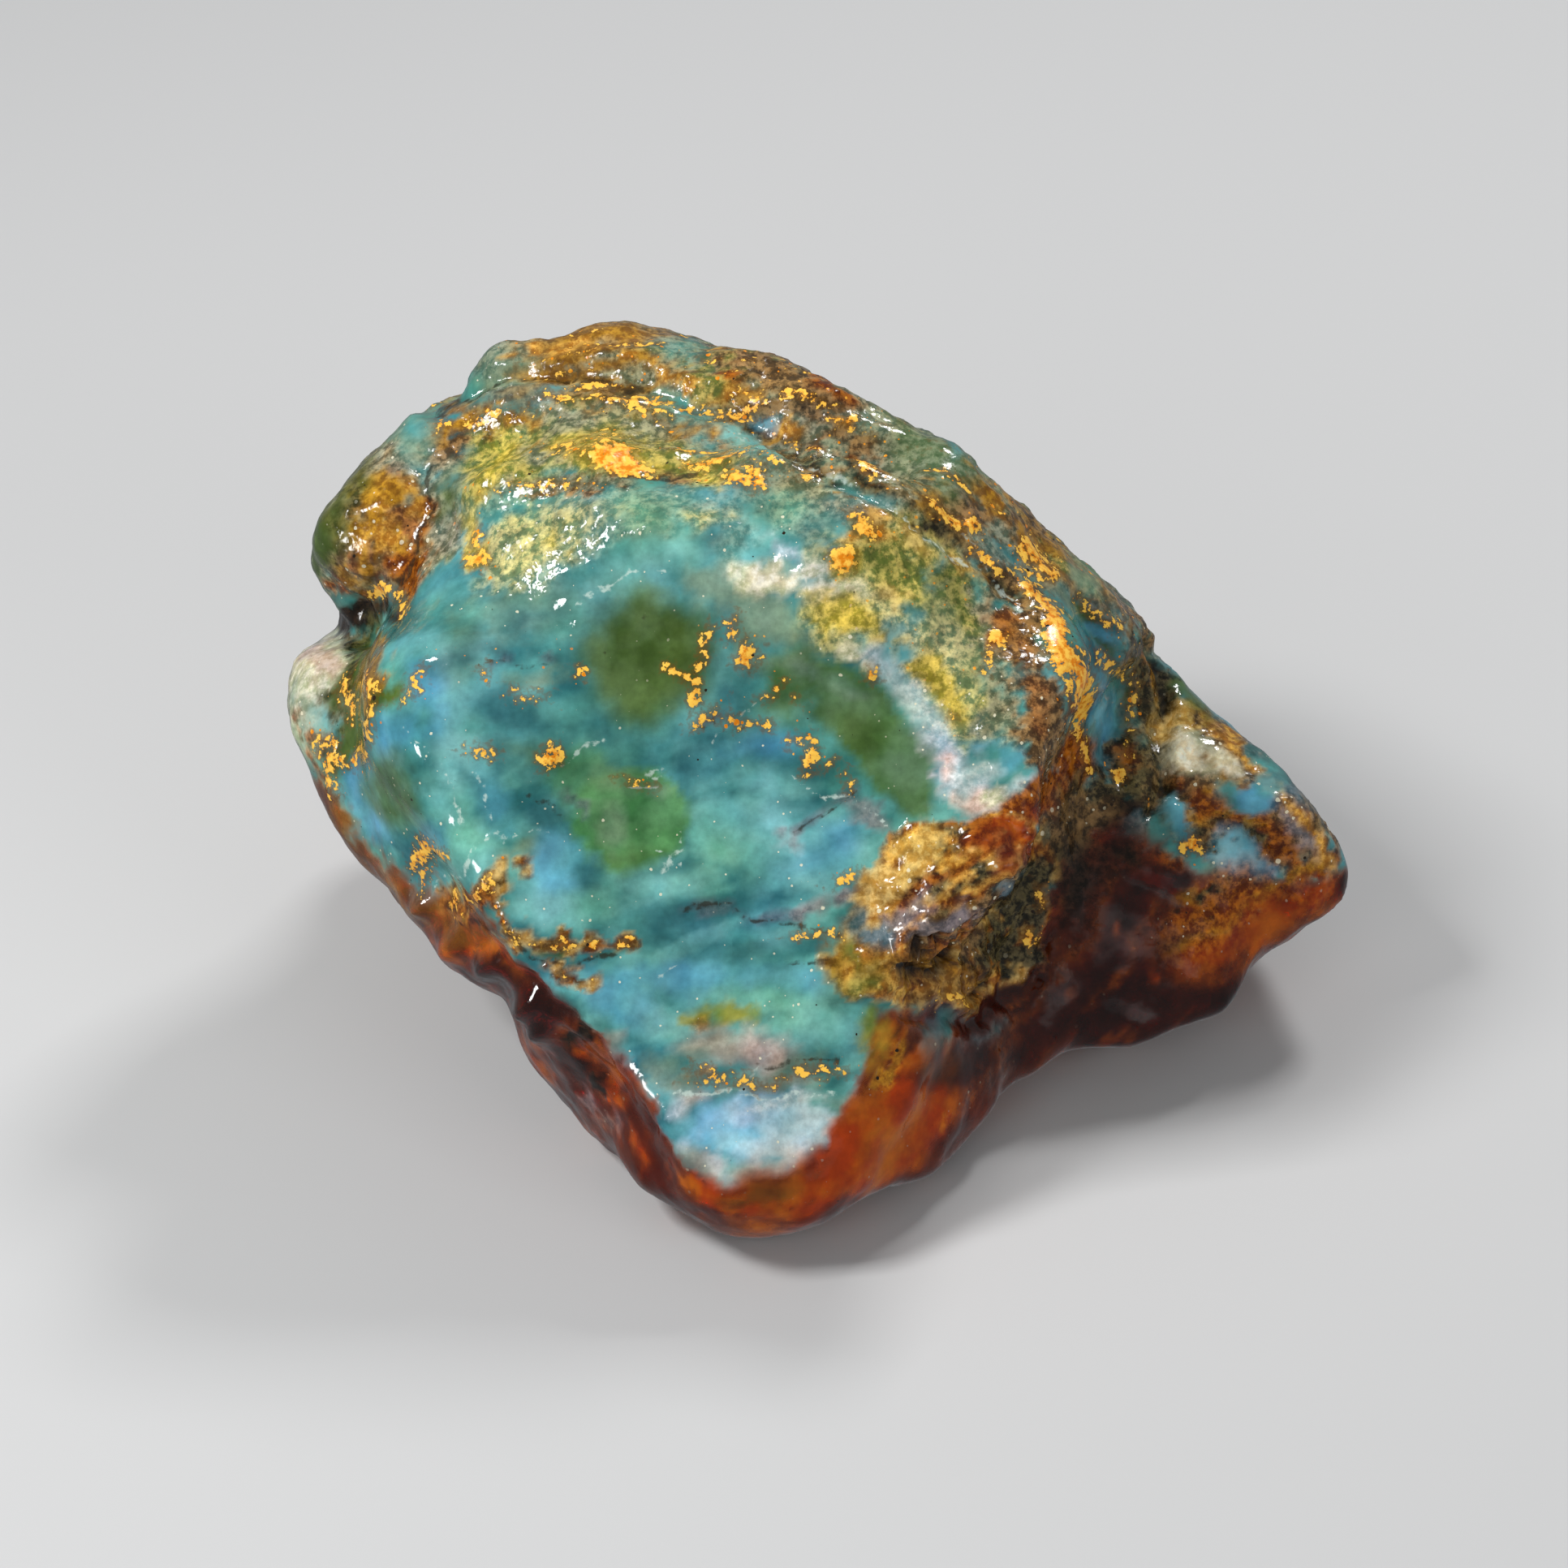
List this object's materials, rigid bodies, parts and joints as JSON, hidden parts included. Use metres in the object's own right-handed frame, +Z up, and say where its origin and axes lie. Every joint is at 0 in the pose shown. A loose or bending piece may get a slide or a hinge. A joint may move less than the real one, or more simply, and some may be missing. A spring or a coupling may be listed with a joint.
{
  "type": "rough amber",
  "caption": "Rough nodule of blue-green and orange amber with a broad worn face, a ridged back and a blunt side lobe, lying on a small flat.",
  "frame": {"origin": "middle of the bounding box in plan, on the plane the nodule rests on", "axes": "+Z up, +X from the left lobe to the blunt right tip, the broad face looks towards -Y and up"},
  "size_m": [0.058, 0.0476, 0.0365],
  "materials": {
    "amber": "wet gloss over blue-green, gold and red-orange resin with a matt brown rind in the hollows"
  },
  "bodies": {
    "root": {"amber": "amber"}
  },
  "joints": []
}
